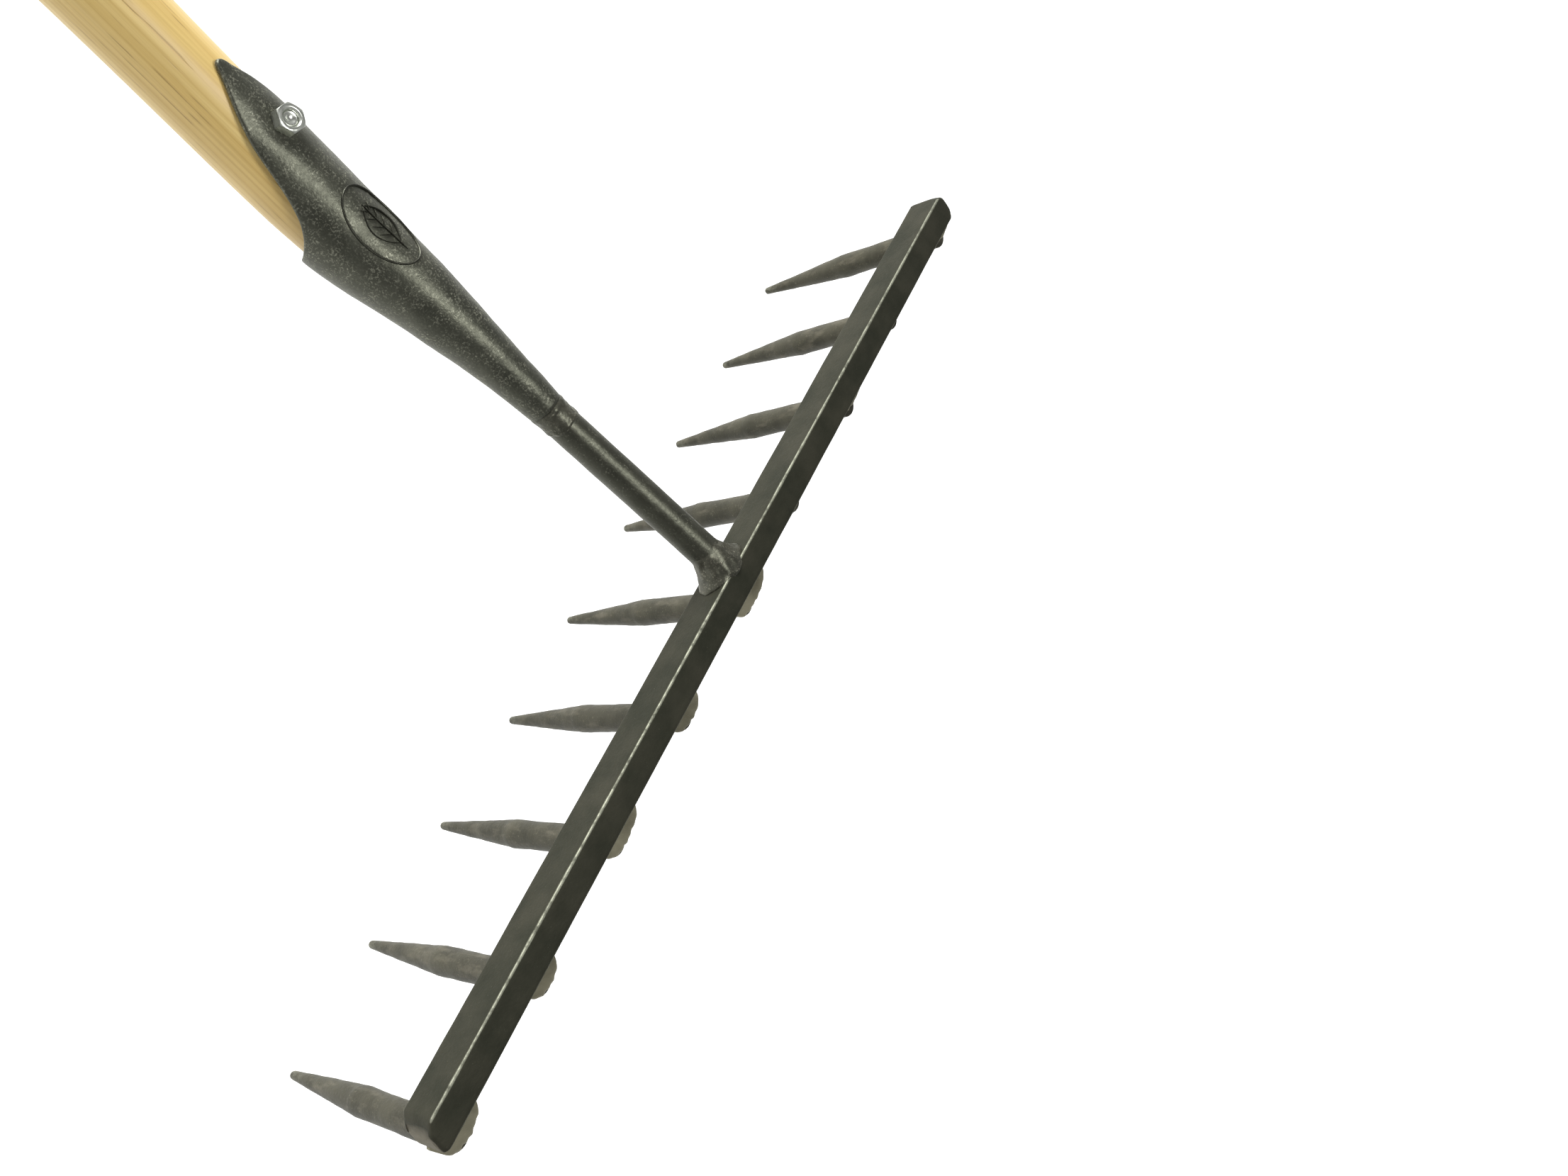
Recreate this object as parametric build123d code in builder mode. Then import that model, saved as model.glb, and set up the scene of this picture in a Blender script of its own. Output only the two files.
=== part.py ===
from build123d import *
import os
from math import cos, radians, sin

os.makedirs("parts", exist_ok=True)

# Garden rake with a level welded head. Millimetres, +Z up.
# X runs along the head bar, the handle runs toward -Y and the tines point down.
# The origin is the middle of the underside of the head bar.

# Head bar
BAR_WIDTH = 11.0
BAR_HEIGHT = 16.0
BAR_END_ROUND = 1.0
BAR_ARRIS = 0.8
# Plan of the bar. Both ends are cut a little aslant and have their corners off.
BAR_PLAN = (
    (-203.5, -BAR_WIDTH / 2),
    (201.0, -BAR_WIDTH / 2),
    (204.6, -2.0),
    (206.0, 4.5),
    (205.0, BAR_WIDTH / 2),
    (-201.5, BAR_WIDTH / 2),
    (-204.5, 2.0),
    (-206.0, -3.5),
)

# Tines, welded upright against the rear face of the bar
TINE_PITCH = 50.0
TINE_RADIUS = 5.0
TINE_SHOULDER = -51.0
TINE_END_RADIUS = 1.4
TINE_Y = BAR_WIDTH / 2 + TINE_RADIUS

# Weld beads between tine and bar, heights above the head of the tine
BEAD_SHORT = 6.5
BEAD_TAIL_RISE = 7.0
BEAD_RISE = 2.0
BEAD_DROP = 5.0
BEAD_LOWEST = 0.5

# Height of each tine's head and tip and the length of its bead's tail, from the -X end
TINES = (
    (4.5, -102.0, 4.0),
    (2.5, -102.0, 9.0),
    (4.5, -100.5, 9.0),
    (2.5, -101.5, 9.0),
    (7.0, -100.0, 14.0),
    (7.0, -100.0, 9.0),
    (7.0, -101.0, 14.0),
    (7.0, -102.5, 9.0),
    (7.0, -102.5, 12.0),
)

# Round rod from the head to the socket, lower at the socket end and a little off the middle of the bar
SHANK_X = -2.5
ROD_RADIUS = 6.0
ROD_SLOPE = 0.097
ROD_Z_AT_BAR = 10.1
ROD_START_Y = -BAR_WIDTH / 2
ROD_END_Y = -87.0

# Neck weld around the end of the rod
NECK_Y = -91.0
NECK_WELD_END_Y = -83.0

# Sheet metal socket
SOCKET_WALL = 2.0
MOUTH_Y = -174.0
TONGUE_LENGTH = 55.0
TONGUE_TURN = 12.0

# Wooden handle
HANDLE_Z = -9.5
HANDLE_RADIUS = 13.0
HANDLE_SWELL = 14.4
HANDLE_TAIL = 14.0
HANDLE_LENGTH = 1500.0
HANDLE_START_Y = -112.0
HANDLE_DOME = 11.0
SEAT_GAP = 0.1
HANG_HOLE_RADIUS = 5.0
HANG_HOLE_FROM_END = 13.5

# M5 clamp bolt through tongue and handle
BOLT_RADIUS = 2.5
BOLT_X = SHANK_X - 4.6
BOLT_Y = -205.5
BOLT_HEAD_RADIUS = 4.8
BOLT_HEAD_HEIGHT = 3.2
BOLT_END_RECESS = 0.8
NUT_ACROSS_FLATS = 8.0
NUT_HEIGHT = 4.0
NUT_SEAT = 14.2
NUT_SEAT_RADIUS = 5.3
WASHER_RADIUS = 7.0
WASHER_THICKNESS = 1.2
WASHER_SEAT = 12.0

TONGUE_RADIUS = HANDLE_RADIUS + SOCKET_WALL
HANDLE_END_Y = HANDLE_START_Y - HANDLE_LENGTH
HOLE_Y = HANDLE_END_Y + HANG_HOLE_FROM_END
NUT_BASE_Z = HANDLE_Z + NUT_SEAT
WASHER_TOP_Z = HANDLE_Z - WASHER_SEAT


def rod_z(y):
    # Height of the rod axis at a distance y from the bar.
    return ROD_Z_AT_BAR + ROD_SLOPE * (y - ROD_START_Y)


def cross_plane(y, z):
    # Plane square to the handle, facing the free end of the handle.
    return Plane(origin=(SHANK_X, y, z), x_dir=(1, 0, 0), z_dir=(0, -1, 0))


# Socket stations from neck to mouth: distance, height of the centre, outer radius.
SOCKET_STATIONS = (
    (NECK_Y, rod_z(NECK_Y), 6.4),
    (-112.0, 0.5, 8.1),
    (-143.0, -3.7, 11.8),
    (MOUTH_Y, HANDLE_Z, TONGUE_RADIUS),
)

# ---- head bar ----
with BuildPart() as head_bar:
    with BuildSketch(Plane.XY):
        with BuildLine():
            Polyline(*BAR_PLAN, close=True)
        make_face()
    extrude(amount=BAR_HEIGHT)
    fillet(head_bar.edges().filter_by(Axis.Z), radius=BAR_END_ROUND)
    fillet(head_bar.faces().sort_by(Axis.Z)[-1].edges(), radius=BAR_ARRIS)
head_bar.part.label = "head_bar"
export_step(head_bar.part, "parts/head_bar.step")

# ---- shank rod ----
rod_plane = Plane(
    origin=(SHANK_X, ROD_START_Y + 5, rod_z(ROD_START_Y + 5)),
    x_dir=(1, 0, 0),
    z_dir=(0, -1, -ROD_SLOPE),
)
with BuildPart() as shank_rod:
    with BuildSketch(rod_plane):
        Circle(ROD_RADIUS)
    extrude(amount=120)
    # Both ends are cut square to the bar.
    with BuildSketch(Plane.XZ.offset(-ROD_START_Y)):
        Rectangle(80, 80)
    extrude(amount=-20, mode=Mode.SUBTRACT)
    with BuildSketch(Plane.XZ.offset(-ROD_END_Y)):
        Rectangle(80, 80)
    extrude(amount=60, mode=Mode.SUBTRACT)
shank_rod.part.label = "shank_rod"
export_step(shank_rod.part, "parts/shank_rod.step")

# ---- neck weld ----
with BuildPart() as neck_weld:
    with BuildSketch(cross_plane(NECK_WELD_END_Y, rod_z(NECK_WELD_END_Y))):
        Circle(ROD_RADIUS + 0.15)
    with BuildSketch(cross_plane(NECK_WELD_END_Y - 1.5, rod_z(NECK_WELD_END_Y - 1.5))):
        Circle(ROD_RADIUS + 0.6)
    with BuildSketch(cross_plane(NECK_Y + 1.5, rod_z(NECK_Y + 1.5))):
        Circle(ROD_RADIUS + 0.8)
    with BuildSketch(cross_plane(NECK_Y, rod_z(NECK_Y))):
        Circle(ROD_RADIUS + 0.4)
    loft()
    add(shank_rod.part, mode=Mode.SUBTRACT)
neck_weld.part.label = "neck_weld"
export_step(neck_weld.part, "parts/neck_weld.step")

# ---- head weld ----
# Widest where it meets the front face of the bar, narrow along the rod.
HEAD_WELD_STATIONS = (
    (-3.5, 8.6, 9.5, 7.9),
    (-5.5, 8.6, 12.0, 8.1),
    (-9.0, 8.8, 8.8, 7.6),
    (-17.0, rod_z(-17.0), 6.2, 6.2),
)
with BuildPart() as head_weld:
    for y, z, half_width, half_height in HEAD_WELD_STATIONS:
        with BuildSketch(cross_plane(y, z)):
            Ellipse(half_width, half_height)
    loft()
    add(head_bar.part, mode=Mode.SUBTRACT)
    add(shank_rod.part, mode=Mode.SUBTRACT)
head_weld.part.label = "head_weld"
export_step(head_weld.part, "parts/head_weld.step")

# ---- socket ----
# Outside: cone from neck to mouth, then a tube along the handle.
with BuildPart() as socket_outside:
    for y, z, radius in SOCKET_STATIONS:
        with BuildSketch(cross_plane(y, z)):
            Circle(radius)
    loft()
    with BuildSketch(cross_plane(MOUTH_Y, HANDLE_Z)):
        Circle(TONGUE_RADIUS)
    extrude(amount=TONGUE_LENGTH + 5)

# Inside: the same shape one wall thickness smaller, closed at the neck.
with BuildPart() as socket_inside:
    for y, z, radius in SOCKET_STATIONS[1:]:
        with BuildSketch(cross_plane(y, z)):
            Circle(radius - SOCKET_WALL)
    loft()
    with BuildSketch(cross_plane(MOUTH_Y, HANDLE_Z)):
        Circle(HANDLE_RADIUS)
    extrude(amount=TONGUE_LENGTH + 10)

# The tongue is turned a little about the handle.
turn_sin = sin(radians(TONGUE_TURN))
turn_cos = cos(radians(TONGUE_TURN))
mouth_centre = (SHANK_X, MOUTH_Y, HANDLE_Z)
side_plane = Plane(origin=mouth_centre, x_dir=(0, -1, 0), z_dir=(-turn_cos, 0, -turn_sin))
plan_plane = Plane(origin=mouth_centre, x_dir=(0, -1, 0), z_dir=(-turn_sin, 0, turn_cos))

with BuildPart() as socket:
    add(socket_outside.part)
    add(socket_inside.part, mode=Mode.SUBTRACT)
    # Sloping mouth, seen from the side.
    with BuildSketch(side_plane):
        with BuildLine():
            Spline((-0.5, -17), (4, -0.6), (9.5, 4.3), (22.6, 7.8), (39, 10.5), (55, 13.0))
            Polyline((55, 13.0), (65, 13.0), (65, -17), (-0.5, -17))
        make_face()
    extrude(amount=20, both=True, mode=Mode.SUBTRACT)
    # Pointed tongue, seen from above.
    with BuildSketch(plan_plane):
        with BuildLine():
            Spline((2, 16), (12.8, 13.6), (22.6, 12.0), (39, 8.8), (53.2, 1.9))
            ThreePointArc((53.2, 1.9), (55, 0), (53.2, -1.9))
            Spline((53.2, -1.9), (39, -8.8), (22.6, -12.0), (12.8, -13.6), (2, -16))
            Polyline((2, -16), (2, -25), (65, -25), (65, 25), (2, 25), (2, 16))
        make_face()
    extrude(amount=20, both=True, mode=Mode.SUBTRACT)
    # Flat seat and hole for the nut and bolt.
    with BuildSketch(Plane.XY.offset(NUT_BASE_Z)):
        with Locations((BOLT_X, BOLT_Y)):
            Circle(NUT_SEAT_RADIUS)
    extrude(amount=5, mode=Mode.SUBTRACT)
    with BuildSketch(Plane.XY.offset(HANDLE_Z)):
        with Locations((BOLT_X, BOLT_Y)):
            Circle(BOLT_RADIUS)
    extrude(amount=30, mode=Mode.SUBTRACT)
socket.part.label = "socket"
export_step(socket.part, "parts/socket.step")

# ---- handle ----
handle_axis = Axis((SHANK_X, MOUTH_Y, HANDLE_Z), (0, -1, 0))
handle_plane = Plane(origin=(SHANK_X, 0, HANDLE_Z), x_dir=(0, -1, 0), z_dir=(1, 0, 0))
STRAIGHT_END = 236.0
TAIL_START = -HANDLE_END_Y - HANDLE_DOME
with BuildPart() as handle:
    # Tapered end inside the socket.
    for y, z, radius in SOCKET_STATIONS[1:]:
        with BuildSketch(cross_plane(y, z)):
            Circle(radius - SOCKET_WALL - SEAT_GAP)
    loft()
    # Turned body with a slight swell and a domed end.
    with BuildSketch(handle_plane):
        with BuildLine():
            Polyline((-MOUTH_Y, 0), (-MOUTH_Y, HANDLE_RADIUS), (STRAIGHT_END, HANDLE_RADIUS))
            Spline(
                (STRAIGHT_END, HANDLE_RADIUS),
                (620, HANDLE_SWELL),
                (1100, HANDLE_SWELL),
                (TAIL_START, HANDLE_TAIL),
                tangents=((1, 0), (1, 0)),
            )
            Bezier(
                (TAIL_START, HANDLE_TAIL),
                (TAIL_START + 0.55 * HANDLE_DOME, HANDLE_TAIL),
                (-HANDLE_END_Y, 0.55 * HANDLE_TAIL),
                (-HANDLE_END_Y, 0),
            )
            Line((-HANDLE_END_Y, 0), (-MOUTH_Y, 0))
        make_face()
    revolve(axis=handle_axis)
    # Bolt hole and the flat under the washer.
    with BuildSketch(Plane.XY.offset(HANDLE_Z - 20)):
        with Locations((BOLT_X, BOLT_Y)):
            Circle(BOLT_RADIUS)
    extrude(amount=40, mode=Mode.SUBTRACT)
    with BuildSketch(Plane.XY.offset(WASHER_TOP_Z)):
        with Locations((BOLT_X, BOLT_Y)):
            Circle(WASHER_RADIUS + 0.3)
    extrude(amount=-5, mode=Mode.SUBTRACT)
    # Hang hole near the free end.
    with BuildSketch(Plane.XY.offset(HANDLE_Z - 20)):
        with Locations((SHANK_X, HOLE_Y)):
            Circle(HANG_HOLE_RADIUS)
    extrude(amount=40, mode=Mode.SUBTRACT)
handle.part.label = "handle"
export_step(handle.part, "parts/handle.step")

# ---- clamp washer ----
with BuildPart() as clamp_washer:
    with BuildSketch(Plane.XY.offset(WASHER_TOP_Z)):
        with Locations((BOLT_X, BOLT_Y)):
            Circle(WASHER_RADIUS)
            Circle(BOLT_RADIUS, mode=Mode.SUBTRACT)
    extrude(amount=-WASHER_THICKNESS)
clamp_washer.part.label = "clamp_washer"
export_step(clamp_washer.part, "parts/clamp_washer.step")

# ---- clamp bolt ----
bolt_head_top_z = WASHER_TOP_Z - WASHER_THICKNESS
bolt_end_z = NUT_BASE_Z + NUT_HEIGHT - BOLT_END_RECESS
with BuildPart() as clamp_bolt:
    with BuildSketch(Plane.XY.offset(bolt_head_top_z)):
        with Locations((BOLT_X, BOLT_Y)):
            Circle(BOLT_HEAD_RADIUS)
    extrude(amount=-BOLT_HEAD_HEIGHT)
    fillet(clamp_bolt.edges().group_by(Axis.Z)[0], radius=1.8)
    with BuildSketch(Plane.XY.offset(bolt_head_top_z)):
        with Locations((BOLT_X, BOLT_Y)):
            Circle(BOLT_RADIUS)
    extrude(amount=bolt_end_z - bolt_head_top_z)
    chamfer(clamp_bolt.edges().group_by(Axis.Z)[-1], length=0.4)
clamp_bolt.part.label = "clamp_bolt"
export_step(clamp_bolt.part, "parts/clamp_bolt.step")

# ---- clamp nut ----
with BuildPart() as clamp_nut:
    with BuildSketch(Plane.XY.offset(NUT_BASE_Z)):
        with Locations((BOLT_X, BOLT_Y)):
            RegularPolygon(radius=NUT_ACROSS_FLATS / 2, side_count=6, major_radius=False, rotation=20)
    extrude(amount=NUT_HEIGHT)
    # Corners turned off at the top.
    with Locations((BOLT_X, BOLT_Y, NUT_BASE_Z + NUT_HEIGHT)):
        Cone(
            bottom_radius=NUT_ACROSS_FLATS / 2 - 0.2 + 1.74 * NUT_HEIGHT,
            top_radius=NUT_ACROSS_FLATS / 2 - 0.2,
            height=NUT_HEIGHT,
            align=(Align.CENTER, Align.CENTER, Align.MAX),
            mode=Mode.INTERSECT,
        )
    with BuildSketch(Plane.XY.offset(NUT_BASE_Z)):
        with Locations((BOLT_X, BOLT_Y)):
            Circle(BOLT_RADIUS)
    extrude(amount=NUT_HEIGHT, mode=Mode.SUBTRACT)
clamp_nut.part.label = "clamp_nut"
export_step(clamp_nut.part, "parts/clamp_nut.step")

# ---- tines and their welds ----
for index, (head_z, tip_z, tail) in enumerate(TINES):
    number = index + 1
    x = (index - (len(TINES) - 1) / 2) * TINE_PITCH

    tine_plane = Plane(origin=(x, TINE_Y, 0), x_dir=(1, 0, 0), z_dir=(0, -1, 0))
    tine_axis = Axis((x, TINE_Y, 0), (0, 0, 1))
    with BuildPart() as tine:
        with BuildSketch(tine_plane):
            with BuildLine():
                Polyline(
                    (0, head_z),
                    (TINE_RADIUS - 0.6, head_z),
                    (TINE_RADIUS, head_z - 0.6),
                    (TINE_RADIUS, TINE_SHOULDER),
                    (TINE_END_RADIUS, tip_z + TINE_END_RADIUS),
                )
                Bezier(
                    (TINE_END_RADIUS, tip_z + TINE_END_RADIUS),
                    (TINE_END_RADIUS, tip_z + 0.45 * TINE_END_RADIUS),
                    (0.55 * TINE_END_RADIUS, tip_z),
                    (0, tip_z),
                )
                Line((0, tip_z), (0, head_z))
            make_face()
        revolve(axis=tine_axis)
    tine.part.label = f"tine_{number}"
    export_step(tine.part, f"parts/tine_{number}.step")

    # The bead bridges round tine and flat bar, with a higher tail toward -X.
    bead_low = max(head_z - BEAD_DROP, BEAD_LOWEST)
    bead_plane = Plane(origin=(x, BAR_WIDTH / 2, bead_low), x_dir=(1, 0, 0), z_dir=(0, 0, 1))
    with BuildPart() as bead:
        with BuildSketch(bead_plane):
            with BuildLine():
                ThreePointArc((-tail, 0), (-0.8 * tail, 2.4), (-0.4 * tail, 4.0))
                Polyline((-0.4 * tail, 4.0), (-0.25 * tail, 0), (-tail, 0))
            make_face()
        extrude(amount=head_z + BEAD_TAIL_RISE - bead_low)
        with BuildSketch(bead_plane):
            with BuildLine():
                Polyline((-0.8 * tail, 0), (-0.4 * tail, 4.0), (-3.6, 5.8), (3.6, 5.8))
                ThreePointArc((3.6, 5.8), (4.8, 2.6), (BEAD_SHORT, 0))
                Line((BEAD_SHORT, 0), (-0.8 * tail, 0))
            make_face()
        extrude(amount=head_z + BEAD_RISE - bead_low)
        add(head_bar.part, mode=Mode.SUBTRACT)
        add(tine.part, mode=Mode.SUBTRACT)
    bead.part.label = f"tine_weld_{number}"
    export_step(bead.part, f"parts/tine_weld_{number}.step")
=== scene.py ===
from math import cos, degrees, exp, hypot, pi, radians, sin, sqrt

import bpy
from mathutils import Matrix, Vector, noise


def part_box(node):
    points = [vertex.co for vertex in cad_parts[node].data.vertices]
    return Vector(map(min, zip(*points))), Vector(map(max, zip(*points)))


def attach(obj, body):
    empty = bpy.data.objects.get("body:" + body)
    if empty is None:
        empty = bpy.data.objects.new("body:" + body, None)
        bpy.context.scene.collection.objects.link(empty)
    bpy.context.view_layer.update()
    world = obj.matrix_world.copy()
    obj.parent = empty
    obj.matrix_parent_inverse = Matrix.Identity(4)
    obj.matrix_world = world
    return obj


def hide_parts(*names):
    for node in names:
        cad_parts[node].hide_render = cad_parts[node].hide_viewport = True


# Looks for the garden rake. Lengths in the code are millimetres and become metres in make_mesh.
# The frame is the row's own: X along the head bar, the handle toward -Y, +Z up.

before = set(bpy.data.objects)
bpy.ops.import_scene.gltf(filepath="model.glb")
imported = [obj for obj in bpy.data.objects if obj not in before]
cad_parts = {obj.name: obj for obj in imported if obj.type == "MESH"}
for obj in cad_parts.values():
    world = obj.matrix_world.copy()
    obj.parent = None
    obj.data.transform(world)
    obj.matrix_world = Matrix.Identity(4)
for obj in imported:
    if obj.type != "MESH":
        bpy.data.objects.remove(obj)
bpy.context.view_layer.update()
MM = 0.001


def node_box(name):
    # Lowest and highest corner of a CAD node in millimetres.
    low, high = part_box(name)
    return [v / MM for v in low], [v / MM for v in high]


# ---------------------------------------------------------------- sizes read from the frame
BAR_LOW, BAR_HIGH = node_box("head_bar")
TINE_LOW, TINE_HIGH = node_box("tine_1")
ROD_LOW, ROD_HIGH = node_box("shank_rod")
SOCKET_HIGH = node_box("socket")[1]
HANDLE_LOW = node_box("handle")[0]
NUT_LOW, NUT_HIGH = node_box("clamp_nut")
BOLT_LOW, BOLT_HIGH = node_box("clamp_bolt")
WASHER_LOW, WASHER_HIGH = node_box("clamp_washer")

# A reach is a distance from the middle of the bar toward the free end of the handle.
ROD_RADIUS = (ROD_HIGH[0] - ROD_LOW[0]) / 2
ROD_SLOPE = 0.097
ROD_START = 5.5
ROD_Z_AT_BAR = 10.1
SHANK_X = (ROD_LOW[0] + ROD_HIGH[0]) / 2

TINE_COUNT = 9
TINE_RADIUS = (TINE_HIGH[0] - TINE_LOW[0]) / 2
TINE_TIP_RADIUS = 1.4
TINE_END = TINE_LOW[2]
TINE_SHOULDER = -51.0

NECK = -SOCKET_HIGH[1]
MOUTH = 174.0
SOCKET_MOUTH_RADIUS = 15.0
WALL = 2.0
TONGUE_TURN = radians(-12.0)

HANDLE_Z = -9.5
HANDLE_END = -HANDLE_LOW[1]
HANDLE_END_RADIUS = 14.0
DOME = 11.0
HOLE_FROM_END = 13.5

BOLT_X = (NUT_LOW[0] + NUT_HIGH[0]) / 2
BOLT_Y = (NUT_LOW[1] + NUT_HIGH[1]) / 2
BOLT_RADIUS = 2.5
NUT_SEAT = NUT_LOW[2]
NUT_FLATS = 8.0
NUT_TURN = radians(20)


def rod_z(reach):
    # Height of the rod axis.
    return ROD_Z_AT_BAR - ROD_SLOPE * (reach - ROD_START)


# ---------------------------------------------------------------- small tools
def smooth_path(points, x):
    # Smooth curve through (x, y) points, flat beyond both ends.
    if x <= points[0][0]:
        return points[0][1]
    if x >= points[-1][0]:
        return points[-1][1]
    slopes = []
    for i in range(len(points)):
        a = points[max(i - 1, 0)]
        b = points[min(i + 1, len(points) - 1)]
        slopes.append((b[1] - a[1]) / (b[0] - a[0]))
    i = 0
    while points[i + 1][0] < x:
        i += 1
    (x0, y0), (x1, y1) = points[i], points[i + 1]
    w = x1 - x0
    t = (x - x0) / w
    return (
        (2 * t**3 - 3 * t**2 + 1) * y0
        + (t**3 - 2 * t**2 + t) * w * slopes[i]
        + (3 * t**2 - 2 * t**3) * y1
        + (t**3 - t**2) * w * slopes[i + 1]
    )


def bumps(x, y, z, size, seed=0.0):
    # Smooth noise between about -1 and 1 with bumps of the given size in millimetres.
    return noise.noise(Vector((x / size + seed, y / size - 2 * seed, z / size + 3 * seed)))


def level_ring(x, y, z, r, count):
    # Circle of points round a vertical axis.
    ring = []
    for j in range(count):
        a = 2 * pi * j / count
        ring.append((x + r * cos(a), y + r * sin(a), z))
    return ring


def faced_outward(verts, faces):
    # Turns all faces over where a closed skin is inside out, by the sign of its volume.
    volume = 0.0
    for face in faces:
        first = Vector(verts[face[0]])
        for i in range(1, len(face) - 1):
            volume += first.dot(Vector(verts[face[i]]).cross(Vector(verts[face[i + 1]])))
    if volume < 0:
        return [tuple(reversed(face)) for face in faces]
    return faces


def make_mesh(name, verts, faces, material, slot, *nodes):
    # A visible piece on the body root, in place of the CAD nodes named.
    mesh = bpy.data.meshes.new(name)
    faces = faced_outward(verts, faces)
    mesh.from_pydata([(x * MM, y * MM, z * MM) for x, y, z in verts], [], faces)
    mesh.validate()
    mesh.update()
    for polygon in mesh.polygons:
        polygon.use_smooth = True
    piece = bpy.data.objects.new(name, mesh)
    bpy.context.scene.collection.objects.link(piece)
    piece.data.materials.append(material)
    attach(piece, "root")
    if nodes:
        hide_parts(*nodes)
    return piece


def skin(rings, cap_start=True, cap_end=True, close_rings=False):
    # Quads between rings of equal length, with each ring closed on itself.
    count = len(rings[0])
    verts = [p for ring in rings for p in ring]
    faces = []
    spans = len(rings) if close_rings else len(rings) - 1
    for i in range(spans):
        a = i * count
        b = ((i + 1) % len(rings)) * count
        for j in range(count):
            k = (j + 1) % count
            faces.append((a + j, a + k, b + k, b + j))
    if cap_start:
        faces.append(tuple(reversed(range(count))))
    if cap_end:
        faces.append(tuple(range((len(rings) - 1) * count, len(rings) * count)))
    return verts, faces


def joined(*parts):
    # Several (verts, faces) pairs as one.
    verts = []
    faces = []
    for part_verts, part_faces in parts:
        base = len(verts)
        verts.extend(part_verts)
        faces.extend(tuple(base + i for i in face) for face in part_faces)
    return verts, faces


# ---------------------------------------------------------------- materials
class Paint:
    # A procedural material built up from nodes on the object's own coordinates.

    def __init__(self, name):
        self.material = bpy.data.materials.new(name)
        self.material.use_nodes = True
        self.nodes = self.material.node_tree.nodes
        self.links = self.material.node_tree.links
        self.shader = self.nodes["Principled BSDF"]
        self.place = self.nodes.new("ShaderNodeTexCoord").outputs["Object"]

    def feed(self, socket, value):
        if isinstance(value, bpy.types.NodeSocket):
            self.links.new(value, socket)
        else:
            socket.default_value = value

    def math(self, operation, a, b=0.0, c=0.0, clamp=False):
        node = self.nodes.new("ShaderNodeMath")
        node.operation = operation
        node.use_clamp = clamp
        self.feed(node.inputs[0], a)
        self.feed(node.inputs[1], b)
        self.feed(node.inputs[2], c)
        return node.outputs[0]

    def distance(self, a, b):
        squares = self.math("ADD", self.math("MULTIPLY", a, a), self.math("MULTIPLY", b, b))
        return self.math("SQRT", squares)

    def scaled(self, factors):
        node = self.nodes.new("ShaderNodeMapping")
        self.feed(node.inputs["Vector"], self.place)
        node.inputs["Scale"].default_value = factors
        return node.outputs[0]

    def noise(self, vector, detail=3.0, rough=0.5):
        node = self.nodes.new("ShaderNodeTexNoise")
        self.feed(node.inputs["Vector"], vector)
        node.inputs["Scale"].default_value = 1.0
        node.inputs["Detail"].default_value = detail
        node.inputs["Roughness"].default_value = rough
        return node.outputs["Fac"]

    def ramp(self, value, *stops):
        # Each stop is a position and a colour of three or four numbers.
        node = self.nodes.new("ShaderNodeValToRGB")
        self.feed(node.inputs[0], value)
        elements = node.color_ramp.elements
        while len(elements) < len(stops):
            elements.new(0.5)
        for element, (position, colour) in zip(elements, stops):
            element.position = position
            element.color = tuple(colour) + (1.0,) if len(colour) == 3 else colour
        return node.outputs[0]

    def mix(self, factor, a, b):
        # Inputs 0, 6 and 7 and output 2 are the node's colour sockets.
        node = self.nodes.new("ShaderNodeMix")
        node.data_type = "RGBA"
        self.feed(node.inputs[0], factor)
        self.feed(node.inputs[6], a)
        self.feed(node.inputs[7], b)
        return node.outputs[2]

    def axes(self, source=None):
        node = self.nodes.new("ShaderNodeSeparateXYZ")
        self.feed(node.inputs[0], source or self.place)
        return node.outputs[0], node.outputs[1], node.outputs[2]

    def bump(self, height, distance, strength=1.0, normal=None):
        node = self.nodes.new("ShaderNodeBump")
        node.inputs["Distance"].default_value = distance
        node.inputs["Strength"].default_value = strength
        self.feed(node.inputs["Height"], height)
        if normal is not None:
            self.feed(node.inputs["Normal"], normal)
        return node.outputs[0]

    def finish(self, colour, roughness, metallic=0.0, normal=None, **others):
        self.feed(self.shader.inputs["Base Color"], colour)
        self.feed(self.shader.inputs["Roughness"], roughness)
        self.feed(self.shader.inputs["Metallic"], metallic)
        if normal is not None:
            self.feed(self.shader.inputs["Normal"], normal)
        for key, value in others.items():
            self.feed(self.shader.inputs[key.replace("_", " ")], value)
        return self.material


def grey(value):
    # Opaque grey, for masks and ramps.
    return (value, value, value, 1.0)


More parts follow.
